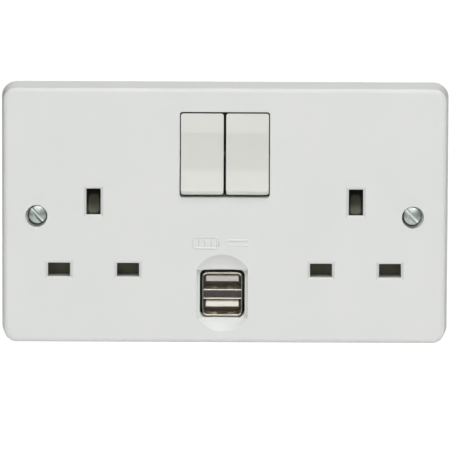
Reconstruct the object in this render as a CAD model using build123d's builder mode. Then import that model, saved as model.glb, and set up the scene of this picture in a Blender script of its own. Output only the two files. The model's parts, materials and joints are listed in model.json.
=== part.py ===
from build123d import *

import math
import os

# Switched double wall socket with a twin charging port, drawn as it hangs on the wall.
# X runs to the right, Z up, and the front faces -Y. The wall is the plane Y = 0.
# A "height" is always a distance in front of the wall, so what is sunk in the wall box has
# negative heights. All sizes are in millimetres and all angles in degrees.

# Plate
plate_width = 144.1
plate_height = 84.6
plate_depth = 10.0
plate_corner = 5.0
plate_draft = 1.0
plate_edge = 2.2
edge_slope = 45.0
front_wall = 2.6
skirt_wall = 2.2

# Pin slots of one outlet
outlet_spread = 84.46
earth_z = 4.54
pin_pitch = 22.23
flat_slot_width = 7.1
flat_slot_height = 4.5
earth_slot_width = 4.6
earth_slot_height = 8.5
flat_slot_depth = 6.6
earth_slot_depth = 3.4
earth_lip = 0.7
earth_relief = 0.6
slot_bevel = 0.8
slot_bevel_depth = 0.2
shroud_wall = 1.3
earth_pin_length = 22.73
pin_tip_room = 0.4

# Fixing screws
fixing_pitch = 120.6
fixing_thread = 3.5
fixing_shank = 3.0
fixing_length = 30.0
fixing_head = 6.1
fixing_head_edge = 0.8
fixing_dome = 1.0
fixing_slot = 1.0
fixing_slot_depth = 1.45
fixing_slot_chamfer = 0.25
fixing_turns = {"left": -48.0, "right": -43.0}
fixing_hole = 4.2
fixing_slack_x = 0.3
fixing_slack_z = 0.3
countersink = 7.1
countersink_angle = 90.0
countersink_sunk = 0.9
pillar = 9.4

# Rockers
switch_z = 19.9
rocker_width = 13.75
rocker_height = 26.2
rocker_gap = 0.8
rocker_side_gap = 0.35
rocker_end_gap = 0.75
aperture_corner = 0.9
rocker_tilt = 5.0
rocker_proud = 1.0
rocker_dish = 0.8
rocker_skin = 1.5
rocker_wall = 1.3
rocker_back = 3.4
rocker_lean = 0.7
rocker_corner = 0.8
rocker_edge = 0.5
rocker_lip = 1.1
well_wall = 1.5
well_depth = 7.0
pivot_depth = 2.6
pivot_diameter = 2.0
pivot_bearing = 1.3
stem_diameter = 5.4
stem_length = 7.0
spring_bore_depth = 5.1
plunger_diameter = 3.3
plunger_reach = 10.4
plunger_sunk = 2.0

# Barrier card behind the rockers
card_thickness = 1.4
card_margin = 1.2
card_corner = 1.0

# Rocking contacts
contact_tilt = 9.0
contact_width = 5.0
contact_reach = 7.2
knife_radius = 0.85
tip_offset = 5.6
tip_diameter = 2.6
tip_thickness = 0.8
anvil_width = 4.4

# Conductor strips, clips and terminals
strip_thickness = 0.8
strip_width = 3.4
riser_gap = 1.8
live_run_z = 16.0
neutral_low_z = -25.9
neutral_cross_z = -6.0
neutral_wall = 2.0
earth_run_z = -3.0
earth_run_width = 5.0
clip_width = 6.0
clip_half = 2.9
clip_throat = 2.05
clip_mouth = 2.0
clip_bend = 3.0
clip_sunk = 1.2
terminal_pitch = 22.0
terminal_z = 8.0
terminal_width = 7.6
terminal_length = 8.0
terminal_reach = 8.2
wire_hole = 4.6
wire_hole_depth = 3.8
terminal_thread = 3.5
terminal_head = 5.4
terminal_head_height = 1.8
terminal_back_off = 0.5
driver_slot = 0.9
driver_slot_depth = 0.8

# Shutters
shutter_thickness = 1.8
shutter_travel = 7.0
shutter_cover = 0.95
shutter_bar = 31.0
shutter_arm = 6.8
ramp_rise = 7.0
ramp_reach = 3.2
ramp_sunk = 1.5
ramp_root = 1.9
shutter_spring_length = 10.6
shutter_boss = 3.8

# Coil springs
coil_wire = 0.42
plunger_coil_radius = 1.15
plunger_coil_turns = 4.0
shutter_coil_radius = 1.5
shutter_coil_turns = 6.0

# Rear base
base_width = 119.0
base_height = 70.0
base_corner = 3.0
base_floor = 2.6
pillar_notch = 5.2
pillar_notch_height = 18.0
rib = 1.2
base_screw_x = 50.5
base_screw_z = 31.4
base_screw_thread = 2.3
base_screw_head = 4.4
base_screw_head_height = 1.6
base_screw_grip = 2.6
boss_diameter = 5.6
boss_hole_depth = 5.0
barrier_reach = 6.4
stake_diameter = 2.4
stake_x = 33.0

# Twin charging port and its charger
port_x = -0.7
port_z = -25.8
port_pitch = 8.26
port_clear_width = 12.3
port_clear_height = 5.22
port_sheet = 0.25
port_corner = 1.6
port_sunk = 2.0
port_length = 13.6
port_gap = 0.85
port_hole_corner = 2.0
port_hole_lift = 0.2
pocket_width = 16.3
scoop_radius = 9.6
scoop_reach = 12.6
scoop_lift = 0.6
scoop_sag = 0.35
tongue_width = 10.5
tongue_height = 1.84
tongue_lift = 0.8
tongue_sunk = 0.7
tongue_length = 8.6
tongue_chamfer = 0.3
port_bar_sunk = 1.6
port_contact_width = 1.0
port_contact_thickness = 0.25
port_contact_spread = (-3.5, -1.0, 1.0, 3.5)
latch_width = 2.4
latch_length = 3.2
latch_rise = 0.55
latch_spread = 5.8
latch_sunk = 0.8
board_width = 31.2
board_height = 19.6
board_thickness = 1.6
board_top_room = 0.5
case_wall = 1.3
case_depth = 23.5
case_top_z = -11.6
flange = 1.5
flange_thickness = 1.2
case_post = 3.2
core_x = 5.0
core_width = 13.0
core_height = 10.0
core_length = 10.0
core_limb = 2.6
winding_bulge = 1.6
rear_capacitors = {"input": (8.0, 11.0, -8.0, 4.4), "output": (6.3, 9.0, -8.6, -4.8)}
capacitor_groove = 0.3
crimp_lift = 2.5
crimp_width = 0.8
lead_diameter = 1.6
lead_lift = 7.2
lead_bend = 1.4
lead_xs = {"live": -2.6, "neutral": 6.0}
lead_landing = 2.6

# Clearances
slide_gap = 0.2
running_gap = 0.05
plunger_gap = 0.1
seat_gap = 0.1
channel_gap = 0.5
pocket_gap = 0.9
touch_gap = 0.04

# Levels and centre lines worked out from the sizes above
sides = {"left": -1, "right": 1}
draft_angle = math.degrees(math.atan2(plate_draft, plate_depth))
edge_left = math.radians(90 - draft_angle - edge_slope)
edge_swell = plate_edge * (1 - math.cos(edge_left)) / math.cos(math.radians(draft_angle))
bevel_angle = math.degrees(math.atan2(slot_bevel, slot_bevel_depth))
inner_face = plate_depth - front_wall
shroud_back = plate_depth - flat_slot_depth
earth_shroud_back = plate_depth - earth_slot_depth
shutter_front = shroud_back - slide_gap
shutter_back = shutter_front - shutter_thickness
base_front = shutter_back - slide_gap
base_back = plate_depth - earth_pin_length - pin_tip_room
floor_height = base_back + base_floor
strip_top = floor_height + strip_thickness
outlet_x = {side: sign * outlet_spread / 2 for side, sign in sides.items()}
neutral_x = {side: x - pin_pitch / 2 for side, x in outlet_x.items()}
live_x = {side: x + pin_pitch / 2 for side, x in outlet_x.items()}
flat_z = earth_z - pin_pitch
rocker_x = {side: sign * (rocker_gap + rocker_width) / 2 for side, sign in sides.items()}
fixing_x = {side: sign * fixing_pitch / 2 for side, sign in sides.items()}
aperture_width = 2 * rocker_width + rocker_gap + 2 * rocker_side_gap
aperture_height = rocker_height + 2 * rocker_end_gap
pivot_height = plate_depth - pivot_depth
well_back = plate_depth - well_depth
pivot_length = aperture_width + 2 * (well_wall + pivot_bearing)
hump_radius = knife_radius + running_gap + strip_thickness
contact_height = pivot_height - plunger_reach - plunger_gap - hump_radius
port_width = port_clear_width + 2 * port_sheet
port_height = port_pitch + port_clear_height + 2 * port_sheet
port_bar = port_pitch - port_clear_height
port_front = plate_depth - port_sunk
port_back = port_front - port_length
port_hole_width = port_width + 2 * port_gap
port_hole_height = port_height + 2 * port_gap
port_hole_z = port_z + port_hole_lift
port_levels = {"upper": port_z + port_pitch / 2, "lower": port_z - port_pitch / 2}
board_back = port_back - board_thickness
board_z = case_top_z - case_wall - board_top_room - board_height / 2
case_half = board_width / 2 + slide_gap + case_wall
case_front = base_front - seat_gap
case_bottom_z = board_z - board_height / 2 - board_top_room - case_wall
case_back = case_front - case_depth
terminal_x = {"earth": -terminal_pitch, "live": 0.0, "neutral": terminal_pitch}
terminal_back = base_back - terminal_reach
wire_height = base_back - wire_hole_depth
shutter_bottom = flat_z - flat_slot_height / 2 - shutter_cover
shutter_top = flat_z + flat_slot_height / 2 + shutter_cover
spring_foot = shutter_bottom - shutter_spring_length
boss_back = shutter_back - shutter_thickness
ramp_foot = earth_z - earth_slot_height / 2
ramp_top = ramp_foot + ramp_rise
ramp_front = earth_shroud_back - ramp_sunk
ramp_back = ramp_front - ramp_reach


# Drawing planes


def front(height, x=0.0, z=0.0):
    """Plane parallel to the wall: local x is X, local y is Z, normal to the front."""
    return Plane(origin=(x, -height, z), x_dir=(1, 0, 0), z_dir=(0, -1, 0))


def side_on(x=0.0, height=0.0, z=0.0):
    """Plane across X: local x is height, local y is Z."""
    return Plane(origin=(x, -height, z), x_dir=(0, -1, 0), z_dir=(-1, 0, 0))


def level(z, x=0.0):
    """Horizontal plane: local x is X, local y is height, normal downwards."""
    return Plane(origin=(x, 0, z), x_dir=(1, 0, 0), z_dir=(0, 0, -1))


def tilted_front(x, height, z, angle):
    """Front plane through a pivot, turned about X so that its top leans forward by the angle."""
    lean = math.radians(angle)
    return Plane(origin=(x, -height, z), x_dir=(1, 0, 0), z_dir=(0, -math.cos(lean), -math.sin(lean)))


def tilted_side(x, height, z, angle):
    """Side plane of tilted_front: local x runs forward from the pivot, local y up."""
    facing = tilted_front(x, height, z, angle)
    return Plane(origin=facing.origin, x_dir=facing.z_dir, z_dir=(-1, 0, 0))


def save(piece, name):
    """Labels a finished piece and writes its file."""
    piece.part.label = name
    export_step(piece.part, f"parts/{name}.step")


# Straight runs of strip, as (x, z, width, height) of each rectangle


def run(start, end, width=strip_width):
    """Rectangle that covers a level or upright run between two points, with square ends."""
    x = (start[0] + end[0]) / 2
    z = (start[1] + end[1]) / 2
    return (x, z, abs(end[0] - start[0]) + width, abs(end[1] - start[1]) + width)


def pad(x, z, width, height):
    """Rectangle centred on a point."""
    return (x, z, width, height)


def draw(runs, grow=0.0):
    """Draws the rectangles in the open sketch, each widened on every side by grow."""
    for x, z, width, height in runs:
        with Locations((x, z)):
            Rectangle(width + 2 * grow, height + 2 * grow)


def coil(radius, turns, start, axis, length):
    """Coil spring of square wire: path and section, swept in the open part."""
    with BuildLine() as path:
        turn = Helix(length / turns, length, radius, center=start, direction=axis)
    with BuildSketch(Plane(origin=turn @ 0, z_dir=turn % 0)) as wire:
        Rectangle(coil_wire, coil_wire)
    sweep(sections=wire.sketch, path=path.line, is_frenet=True)


def flat_clip(x):
    """Pair of sprung leaves over a strip, gripping a flat pin from above and below."""
    throat = base_front - clip_sunk - clip_mouth
    for sign in (-1, 1):
        with BuildSketch(side_on(x)) as leaf:
            with BuildLine():
                Polyline(
                    (floor_height + strip_thickness / 2, flat_z + sign * clip_half),
                    (throat - clip_bend, flat_z + sign * clip_half),
                    (throat, flat_z + sign * clip_throat),
                    (throat + clip_mouth, flat_z + sign * clip_half),
                )
            trace(line_width=strip_thickness)
        extrude(leaf.sketch, amount=clip_width / 2, both=True)


def earth_clip(x):
    """Pair of sprung leaves over the earth strap, gripping the earth pin from its sides."""
    mouth = base_front - clip_sunk
    throat = mouth - clip_mouth
    for sign in (-1, 1):
        with BuildSketch(level(earth_z)) as leaf:
            with BuildLine():
                Polyline(
                    (x + sign * clip_half, base_back - strip_thickness / 2),
                    (x + sign * clip_half, throat - clip_bend),
                    (x + sign * clip_throat, throat),
                    (x + sign * clip_half, mouth),
                )
            trace(line_width=strip_thickness)
        extrude(leaf.sketch, amount=clip_width / 2, both=True)


# Where each strip runs
riser_x = rocker_x["right"] + contact_width / 2 + riser_gap + strip_width / 2
anvil_z = switch_z + tip_offset
live_runs = {}
for side, sign in sides.items():
    live_runs[side] = [
        run((rocker_x[side], anvil_z), (sign * riser_x, anvil_z)),
        run((sign * riser_x, anvil_z), (sign * riser_x, live_run_z)),
        run((sign * riser_x, live_run_z), (live_x[side], live_run_z)),
        run((live_x[side], live_run_z), (live_x[side], flat_z)),
        pad(live_x[side], flat_z, clip_width, 2 * clip_half + strip_thickness),
    ]
feed_runs = [
    run((rocker_x["left"], switch_z), (rocker_x["right"], switch_z), 2 * knife_radius + strip_thickness),
    run((0, switch_z), (0, terminal_z)),
    pad(0, terminal_z, terminal_width, terminal_length),
]
neutral_in_x = -(case_half + flange + neutral_wall + strip_width / 2)
neutral_runs = [
    run((neutral_x["left"], flat_z), (neutral_x["left"], neutral_low_z)),
    run((neutral_x["left"], neutral_low_z), (neutral_in_x, neutral_low_z)),
    run((neutral_in_x, neutral_low_z), (neutral_in_x, neutral_cross_z)),
    run((neutral_in_x, neutral_cross_z), (neutral_x["right"], neutral_cross_z)),
    run((neutral_x["right"], neutral_cross_z), (neutral_x["right"], flat_z)),
    run((terminal_x["neutral"], neutral_cross_z), (terminal_x["neutral"], terminal_z)),
    pad(terminal_x["neutral"], terminal_z, terminal_width, terminal_length),
]
for side in sides:
    neutral_runs.append(pad(neutral_x[side], flat_z, clip_width, 2 * clip_half + strip_thickness))
earth_pocket_width = 2 * clip_half + strip_thickness + 2 * pocket_gap
earth_pocket_height = earth_slot_height + 2 * shroud_wall
earth_runs = [
    run((outlet_x["left"], earth_run_z), (outlet_x["right"], earth_run_z), earth_run_width),
    run((terminal_x["earth"], earth_run_z), (terminal_x["earth"], terminal_z), earth_run_width),
    pad(terminal_x["earth"], terminal_z, terminal_width, terminal_length),
]
for side in sides:
    earth_runs.append(
        pad(outlet_x[side], earth_z, earth_pocket_width + 2 * rib, earth_pocket_height + 2 * rib)
    )

os.makedirs("parts", exist_ok=True)

# Faceplate: drafted plate with its skirt, slot shrouds, switch well, port well, bosses and pillars
flat_slots = []
earth_slots = []
for side in sides:
    flat_slots += [(neutral_x[side], flat_z), (live_x[side], flat_z)]
    earth_slots.append((outlet_x[side], earth_z))
base_screw_spots = [(x, z) for x in (-base_screw_x, base_screw_x) for z in (-base_screw_z, base_screw_z)]
fixing_holes = [(fixing_x[side] + sign * fixing_slack_x, -fixing_slack_z) for side, sign in sides.items()]
clamp_x = case_half + flange / 2

scoop_z = port_z + scoop_lift
with BuildPart() as port_scoop:
    for sign in (-1, 1):
        hub_z = scoop_z + sign * (scoop_reach - scoop_radius)
        foot_radius = port_hole_height / 2 - abs(hub_z - port_hole_z)
        scoop_slope = math.atan2(port_sunk, scoop_radius - foot_radius)
        scoop_middle = (
            -port_sunk / 2 - scoop_sag * math.cos(scoop_slope),
            (scoop_radius + foot_radius) / 2 + scoop_sag * math.sin(scoop_slope),
        )
        with BuildSketch(side_on(port_x, plate_depth, hub_z)):
            with BuildLine():
                Polyline((-port_sunk, foot_radius), (-port_sunk, 0), (plate_edge, 0), (plate_edge, scoop_radius))
                Line((plate_edge, scoop_radius), (0, scoop_radius))
                ThreePointArc((0, scoop_radius), scoop_middle, (-port_sunk, foot_radius))
            make_face()
        revolve(axis=Axis((port_x, 0, hub_z), (0, 1, 0)))
    with BuildSketch(front(plate_depth, port_x, scoop_z)):
        Rectangle(pocket_width, 2 * scoop_reach)
    extrude(amount=scoop_reach, both=True, mode=Mode.INTERSECT)

with BuildPart() as faceplate:
    with BuildSketch(front(0)):
        swell_width = plate_width + 2 * edge_swell
        swell_height = plate_height + 2 * edge_swell
        RectangleRounded(swell_width, swell_height, plate_corner + edge_swell)
    extrude(amount=plate_depth, taper=draft_angle)
    fillet(faceplate.faces().sort_by(Axis.Y)[0].edges(), plate_edge)
    with BuildSketch(front(0)):
        RectangleRounded(plate_width, plate_height, plate_corner)
    extrude(amount=plate_depth, taper=draft_angle, mode=Mode.INTERSECT)
    with BuildSketch(front(0)):
        hollow_width = plate_width - 2 * skirt_wall
        hollow_height = plate_height - 2 * skirt_wall
        RectangleRounded(hollow_width, hollow_height, plate_corner - skirt_wall)
    extrude(amount=inner_face, taper=draft_angle, mode=Mode.SUBTRACT)
    with BuildSketch(front(shroud_back)):
        with Locations(flat_slots):
            Rectangle(flat_slot_width + 2 * shroud_wall, flat_slot_height + 2 * shroud_wall)
    extrude(amount=inner_face - shroud_back)
    with BuildSketch(front(earth_shroud_back)):
        with Locations(earth_slots):
            Rectangle(earth_slot_width + 2 * shroud_wall, earth_slot_height + 2 * shroud_wall)
    extrude(amount=inner_face - earth_shroud_back)
    with BuildSketch(front(well_back)):
        with Locations((0, switch_z)):
            Rectangle(aperture_width + 2 * well_wall, aperture_height + 2 * well_wall)
        with Locations((port_x, port_hole_z)):
            port_well_width = port_hole_width + 2 * well_wall
            port_well_height = port_hole_height + 2 * well_wall
            RectangleRounded(port_well_width, port_well_height, port_hole_corner + well_wall)
    extrude(amount=inner_face - well_back)
    with BuildSketch(front(base_front)):
        with Locations(base_screw_spots):
            Circle(boss_diameter / 2)
        with Locations((-clamp_x, board_z), (clamp_x, board_z)):
            Rectangle(flange - slide_gap, board_height)
    extrude(amount=inner_face - base_front)
    with BuildSketch(front(0)):
        with Locations(fixing_holes):
            Circle(pillar / 2)
    extrude(amount=inner_face)
    with BuildSketch(front(plate_depth)):
        with Locations(flat_slots):
            Rectangle(flat_slot_width, flat_slot_height)
        with Locations(earth_slots):
            Rectangle(earth_slot_width, earth_slot_height)
        with Locations((0, switch_z)):
            RectangleRounded(aperture_width, aperture_height, aperture_corner)
        with Locations((port_x, port_hole_z)):
            RectangleRounded(port_hole_width, port_hole_height, port_hole_corner)
    extrude(amount=-plate_depth, mode=Mode.SUBTRACT)
    with BuildSketch(front(plate_depth - slot_bevel_depth)):
        with Locations(flat_slots):
            Rectangle(flat_slot_width, flat_slot_height)
        with Locations(earth_slots):
            Rectangle(earth_slot_width, earth_slot_height)
    extrude(amount=slot_bevel_depth, taper=-bevel_angle, mode=Mode.SUBTRACT)
    with BuildSketch(front(earth_shroud_back)):
        with Locations(earth_slots):
            Rectangle(earth_slot_width + 2 * earth_relief, earth_slot_height + 2 * earth_relief)
    extrude(amount=earth_slot_depth - earth_lip, mode=Mode.SUBTRACT)
    with BuildSketch(front(plate_depth - port_sunk, port_x, port_hole_z)):
        Rectangle(pocket_width, port_hole_height)
    extrude(amount=port_sunk, mode=Mode.SUBTRACT)
    add(port_scoop.part, mode=Mode.SUBTRACT)
    with BuildSketch(front(plate_depth)):
        with Locations(fixing_holes):
            Circle(countersink / 2)
    extrude(amount=-countersink_sunk, mode=Mode.SUBTRACT)
    with Locations(*[front(plate_depth - countersink_sunk, x, z) for x, z in fixing_holes]):
        CounterSinkHole(fixing_hole / 2, countersink / 2, counter_sink_angle=countersink_angle)
    with BuildSketch(front(base_front)):
        with Locations(base_screw_spots):
            Circle(base_screw_thread / 2 + running_gap)
    extrude(amount=boss_hole_depth, mode=Mode.SUBTRACT)
    with BuildSketch(side_on(0, pivot_height, switch_z)):
        Circle(pivot_diameter / 2 + running_gap)
        with Locations((-pivot_height / 2, 0)):
            Rectangle(pivot_height, pivot_diameter + 2 * running_gap)
    extrude(amount=pivot_length / 2 + running_gap, both=True, mode=Mode.SUBTRACT)
save(faceplate, "faceplate")

# Rockers: dished keys with deep skirts on the pivot pin and a stem for the plunger
for side in sides:
    face_plane = tilted_front(rocker_x[side], pivot_height, switch_z, -rocker_tilt)
    section_plane = tilted_side(rocker_x[side], pivot_height, switch_z, -rocker_tilt)
    key_front = pivot_depth + rocker_proud
    key_half = rocker_height / 2
    with BuildPart() as rocker:
        with BuildSketch(section_plane):
            with BuildLine():
                lip_start = (key_front, -key_half + rocker_lip)
                ThreePointArc(lip_start, (key_front - rocker_dish, 0), (key_front, key_half))
                Polyline(
                    (key_front, key_half),
                    (-rocker_back, key_half - rocker_lean),
                    (-rocker_back, -key_half + rocker_lean),
                    (key_front - rocker_lip, -key_half),
                    lip_start,
                )
            make_face()
        extrude(amount=rocker_width / 2, both=True)
        ends = rocker.faces().sort_by(Axis.Z)
        fillet((ends[0].edges() + ends[-1].edges()).filter_by(Axis.X, reverse=True), rocker_corner)
        fillet(rocker.faces().sort_by(Axis.Y)[0].edges(), rocker_edge)
        with BuildSketch(section_plane):
            with BuildLine():
                inner_half = key_half - rocker_skin
                inner_front = key_front - rocker_skin
                inner_dish = (inner_front - rocker_dish, 0)
                ThreePointArc((inner_front, -inner_half), inner_dish, (inner_front, inner_half))
                Polyline(
                    (inner_front, inner_half),
                    (-rocker_back, inner_half - rocker_lean),
                    (-rocker_back, -inner_half + rocker_lean),
                    (inner_front, -inner_half),
                )
            make_face()
        extrude(amount=rocker_width / 2 - rocker_wall, both=True, mode=Mode.SUBTRACT)
        with BuildSketch(face_plane.offset(-stem_length)):
            Circle(stem_diameter / 2)
        extrude(amount=stem_length + key_front - rocker_dish - rocker_skin / 2)
        with BuildSketch(section_plane):
            Circle(pivot_diameter / 2 + running_gap)
        extrude(amount=rocker_width / 2, both=True, mode=Mode.SUBTRACT)
        with BuildSketch(face_plane.offset(-stem_length)):
            Circle(plunger_diameter / 2 + plunger_gap)
        extrude(amount=spring_bore_depth, mode=Mode.SUBTRACT)
    save(rocker, f"rocker_{side}")

    # Plunger with a domed end, free to slide in the stem
    with BuildPart() as plunger:
        with BuildSketch(section_plane):
            with BuildLine():
                plunger_radius = plunger_diameter / 2
                plunger_top = -stem_length + plunger_sunk
                dome_start = (-plunger_reach + plunger_radius, plunger_radius)
                Polyline((-plunger_reach, 0), (plunger_top, 0), (plunger_top, plunger_radius), dome_start)
                RadiusArc(dome_start, (-plunger_reach, 0), -plunger_radius)
            make_face()
        revolve(axis=Axis(section_plane.origin, section_plane.x_dir))
    save(plunger, f"plunger_{side}")

    # Spring between the bottom of the stem's bore and the plunger
    with BuildPart() as plunger_spring:
        coil_end = plunger_sunk + coil_wire / 2 + touch_gap
        coil_start = spring_bore_depth - coil_wire / 2 - touch_gap
        coil(
            plunger_coil_radius,
            plunger_coil_turns,
            face_plane.offset(-stem_length + coil_end).origin,
            face_plane.z_dir,
            coil_start - coil_end,
        )
    save(plunger_spring, f"plunger_spring_{side}")

# Steel pin that both rockers turn on
with BuildPart() as pivot_pin:
    with BuildSketch(side_on(0, pivot_height, switch_z)):
        Circle(pivot_diameter / 2)
    extrude(amount=pivot_length / 2, both=True)
save(pivot_pin, "pivot_pin")

# Barrier card: lies on the base behind both rockers, with a hole for each stem to swing in
with BuildPart() as barrier_card:
    stem_room = stem_diameter + 2 * pocket_gap
    stem_swing = 2 * stem_length * math.sin(math.radians(rocker_tilt))
    with BuildSketch(front(base_front + touch_gap)):
        with Locations((0, switch_z)):
            card_width = aperture_width + 2 * card_margin
            card_height = aperture_height + 2 * card_margin
            RectangleRounded(card_width, card_height, card_corner)
            with Locations((rocker_x["left"], 0), (rocker_x["right"], 0)):
                RectangleRounded(stem_room, stem_room + stem_swing, stem_diameter / 2, mode=Mode.SUBTRACT)
    extrude(amount=card_thickness)
save(barrier_card, "barrier_card")

# Rocking contacts: bent brass strips that see-saw on the feed bar, each with a silver tip
tip_radius = tip_diameter / 2
for side in sides:
    face_plane = tilted_front(rocker_x[side], contact_height, switch_z, contact_tilt)
    section_plane = tilted_side(rocker_x[side], contact_height, switch_z, contact_tilt)
    with BuildPart() as rocking_contact:
        with BuildSketch(section_plane):
            Circle(hump_radius)
            with Locations((strip_thickness / 2, 0)):
                Rectangle(strip_thickness, 2 * contact_reach)
            with Locations((-hump_radius, 0)):
                Rectangle(2 * hump_radius, 2 * contact_reach, mode=Mode.SUBTRACT)
            Circle(knife_radius + running_gap, mode=Mode.SUBTRACT)
        extrude(amount=contact_width / 2, both=True)
    save(rocking_contact, f"rocking_contact_{side}")
    with BuildPart() as moving_tip:
        with BuildSketch(face_plane.offset(-tip_thickness)):
            with Locations((0, tip_offset)):
                Circle(tip_radius)
        extrude(amount=tip_thickness)
    save(moving_tip, f"moving_tip_{side}")

# Feed bar: carries the incoming live to a rounded knife edge under each rocking contact
with BuildPart() as feed_bar:
    with BuildSketch(front(floor_height)):
        draw(feed_runs)
    extrude(amount=strip_thickness)
    for side in sides:
        post = contact_height - floor_height
        with BuildSketch(side_on(rocker_x[side], contact_height, switch_z)):
            Circle(knife_radius)
            with Locations((-post / 2, 0)):
                Rectangle(post, 2 * knife_radius)
        extrude(amount=contact_width / 2, both=True)
save(feed_bar, "feed_bar")

# Live strips: from an anvil behind each rocking contact to the live clip of its outlet
swing = math.radians(contact_tilt)
tip_low = tip_thickness * math.cos(swing) + (tip_offset + tip_radius) * math.sin(swing)
fixed_tip_top = contact_height - tip_low - touch_gap
anvil_top = fixed_tip_top - tip_thickness
for side in sides:
    with BuildPart() as live_strip:
        with BuildSketch(front(floor_height)):
            draw(live_runs[side])
        extrude(amount=strip_thickness)
        anvil_rise = anvil_top - floor_height
        with BuildSketch(level(anvil_z)):
            with Locations((rocker_x[side], floor_height + anvil_rise / 2)):
                Rectangle(anvil_width, anvil_rise)
            with Locations((rocker_x[side], floor_height + anvil_rise / 2 - strip_thickness)):
                Rectangle(anvil_width - 2 * strip_thickness, anvil_rise, mode=Mode.SUBTRACT)
        extrude(amount=strip_width / 2, both=True)
        flat_clip(live_x[side])
    save(live_strip, f"live_strip_{side}")
    with BuildPart() as fixed_tip:
        with BuildSketch(front(anvil_top)):
            with Locations((rocker_x[side], anvil_z)):
                Circle(tip_radius)
        extrude(amount=tip_thickness)
    save(fixed_tip, f"fixed_tip_{side}")

# Neutral bar: joins both neutral clips and the neutral terminal
with BuildPart() as neutral_bar:
    with BuildSketch(front(floor_height)):
        draw(neutral_runs)
    extrude(amount=strip_thickness)
    for side in sides:
        flat_clip(neutral_x[side])
save(neutral_bar, "neutral_bar")

# Earth strap: lies on the back of the base and reaches through it with the earth clips
with BuildPart() as earth_strap:
    with BuildSketch(front(base_back - strip_thickness)):
        draw(earth_runs)
        with Locations((-stake_x, earth_run_z), (stake_x, earth_run_z)):
            Circle(stake_diameter / 2 + running_gap, mode=Mode.SUBTRACT)
    extrude(amount=strip_thickness)
    for side in sides:
        earth_clip(outlet_x[side])
save(earth_strap, "earth_strap")

# Terminals: brass blocks with a wire hole from above and a clamp screw from the back
terminal_tops = {"earth": base_back - strip_thickness, "live": floor_height, "neutral": floor_height}
for name, x in terminal_x.items():
    with BuildPart() as terminal:
        with BuildSketch(front(terminal_back, x, terminal_z)):
            Rectangle(terminal_width, terminal_length)
        extrude(amount=terminal_tops[name] - terminal_back)
        with BuildSketch(level(terminal_z, x)):
            with Locations((0, wire_height)):
                Circle(wire_hole / 2)
        extrude(amount=terminal_length / 2, both=True, mode=Mode.SUBTRACT)
        with BuildSketch(front(terminal_back, x, terminal_z)):
            Circle(terminal_thread / 2 + running_gap)
        extrude(amount=wire_height - terminal_back, mode=Mode.SUBTRACT)
    save(terminal, f"{name}_terminal")

with BuildPart() as terminal_screws:
    head_front = terminal_back - terminal_back_off
    spots = [(x, terminal_z) for x in terminal_x.values()]
    with BuildSketch(front(head_front - terminal_head_height)):
        with Locations(spots):
            Circle(terminal_head / 2)
    extrude(amount=terminal_head_height)
    with BuildSketch(front(head_front)):
        with Locations(spots):
            Circle(terminal_thread / 2)
    extrude(amount=wire_height - wire_hole / 2 - head_front)
    with BuildSketch(front(head_front - terminal_head_height)):
        with Locations(spots):
            Rectangle(driver_slot, terminal_head)
    extrude(amount=driver_slot_depth, mode=Mode.SUBTRACT)
save(terminal_screws, "terminal_screws")

# Shutters: a bar over both flat slots, an arm up to the earth slot and a ramp for the earth pin
for side, x in outlet_x.items():
    with BuildPart() as shutter:
        with BuildSketch(front(shutter_back)):
            draw([pad(x, flat_z, shutter_bar, shutter_top - shutter_bottom)])
            arm_height = ramp_foot - flat_z
            draw([pad(x, flat_z + arm_height / 2, shutter_arm, arm_height)])
        extrude(amount=shutter_thickness)
        with BuildSketch(side_on(x)):
            with BuildLine():
                Polyline(
                    (ramp_front, ramp_foot),
                    (ramp_back, ramp_top),
                    (shutter_back, ramp_top),
                    (shutter_back, ramp_foot - ramp_root),
                    (ramp_front, ramp_foot - ramp_root),
                    (ramp_front, ramp_foot),
                )
            make_face()
        extrude(amount=shutter_arm / 2, both=True)
        with BuildSketch(front(boss_back)):
            draw([pad(x, (flat_z + shutter_bottom) / 2, shutter_boss, flat_z - shutter_bottom)])
        extrude(amount=shutter_thickness)
    save(shutter, f"shutter_{side}")
    with BuildPart() as shutter_spring:
        coil_room = coil_wire / 2 + touch_gap
        coil(
            shutter_coil_radius,
            shutter_coil_turns,
            (x, -shutter_back, spring_foot + coil_room),
            (0, 0, 1),
            shutter_spring_length - 2 * coil_room,
        )
    save(shutter_spring, f"shutter_spring_{side}")

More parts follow.
